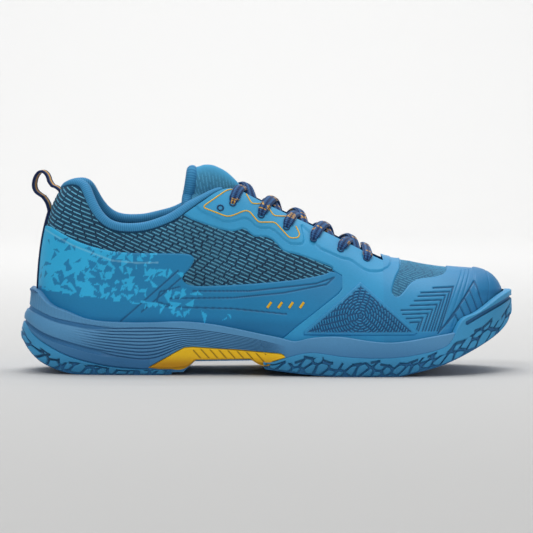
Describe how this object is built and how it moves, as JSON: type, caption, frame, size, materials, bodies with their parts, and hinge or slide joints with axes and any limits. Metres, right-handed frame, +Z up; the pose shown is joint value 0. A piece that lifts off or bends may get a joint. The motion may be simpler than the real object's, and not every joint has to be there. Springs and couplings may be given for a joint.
{
  "type": "court shoe",
  "caption": "Low-cut lace-up court shoe, right foot, with layered mesh upper, padded collar, arch plate and wrapped toe.",
  "frame": {"origin": "on the ground, under the middle of the shoe's box", "axes": "+X from heel to toe, +Y to the medial side, +Z up from the ground"},
  "size_m": [0.2977, 0.1077, 0.1247],
  "materials": {
    "outsole_heel": "moulded rubber",
    "outsole_forefoot": "moulded rubber",
    "shank_plate": "ribbed",
    "midsole": "moulded foam",
    "heel_cushion": "gel",
    "forefoot_cushion": "gel",
    "lasting_board": "woven",
    "sockliner": "knit over foam",
    "quarter_mesh": "open mesh",
    "heel_counter": "thermoformed",
    "heel_lining": "knit",
    "collar_padding": "open foam",
    "collar_lining": "knit",
    "quarter_lining": "knit",
    "vamp_mesh": "open mesh",
    "vamp_lining": "knit",
    "toe_puff": "thermoformed",
    "heel_overlay": "printed film",
    "quarter_overlay": "film",
    "forefoot_overlay": "film",
    "eyestay": "film",
    "forefoot_panel": "textured",
    "tongue_shell": "knit",
    "tongue_padding": "open foam",
    "tongue_lining": "knit",
    "tongue_binding": "rolled knit",
    "collar_roll": "rolled rib",
    "lace": "flat braid",
    "aglets": "sheath",
    "pull_loop": "webbing",
    "loop_anchors": "webbing",
    "heel_tape": "webbing",
    "side_dashes": "film"
  },
  "bodies": {
    "shoe": {"outsole_heel": "outsole_heel", "outsole_forefoot": "outsole_forefoot", "shank_plate": "shank_plate", "midsole": "midsole", "heel_cushion": "heel_cushion", "forefoot_cushion": "forefoot_cushion", "lasting_board": "lasting_board", "quarter_mesh_lateral": "quarter_mesh", "quarter_mesh_medial": "quarter_mesh", "heel_counter": "heel_counter", "heel_lining": "heel_lining", "collar_padding": "collar_padding", "collar_lining": "collar_lining", "quarter_lining_lateral": "quarter_lining", "quarter_lining_medial": "quarter_lining", "vamp_mesh": "vamp_mesh", "vamp_lining": "vamp_lining", "toe_puff": "toe_puff", "heel_overlay": "heel_overlay", "quarter_overlay_lateral": "quarter_overlay", "quarter_overlay_medial": "quarter_overlay", "forefoot_overlay": "forefoot_overlay", "eyestay_lateral": "eyestay", "eyestay_medial": "eyestay", "forefoot_panel_lateral": "forefoot_panel", "forefoot_panel_medial": "forefoot_panel", "collar_roll": "collar_roll", "lace": "lace", "aglets": "aglets", "loop_anchors": "loop_anchors", "heel_tape": "heel_tape", "side_dashes": "side_dashes"},
    "tongue": {"tongue_shell": "tongue_shell", "tongue_padding": "tongue_padding", "tongue_lining": "tongue_lining", "tongue_binding": "tongue_binding"},
    "sockliner": {"sockliner": "sockliner"},
    "pull_loop": {"pull_loop": "pull_loop"}
  },
  "joints": [
    {"name": "tongue_hinge", "type": "hinge", "parent": "shoe", "child": "tongue", "pos_m": [0.07, 0, 0.0615], "axis": [0, 1, 0], "range_deg": [-10, 0], "stiffness_Nm_per_rad": 0.6, "springref_deg": 2.86},
    {"name": "sockliner_lift", "type": "hinge", "parent": "shoe", "child": "sockliner", "pos_m": [0.1398, 0, 0.0312], "axis": [0, 1, 0], "range_deg": [0, 6]},
    {"name": "pull_loop_swing", "type": "hinge", "parent": "shoe", "child": "pull_loop", "pos_m": [-0.1335, 0, 0.1098], "axis": [0, 1, 0], "range_deg": [-10, 8], "stiffness_Nm_per_rad": 0.05}
  ]
}
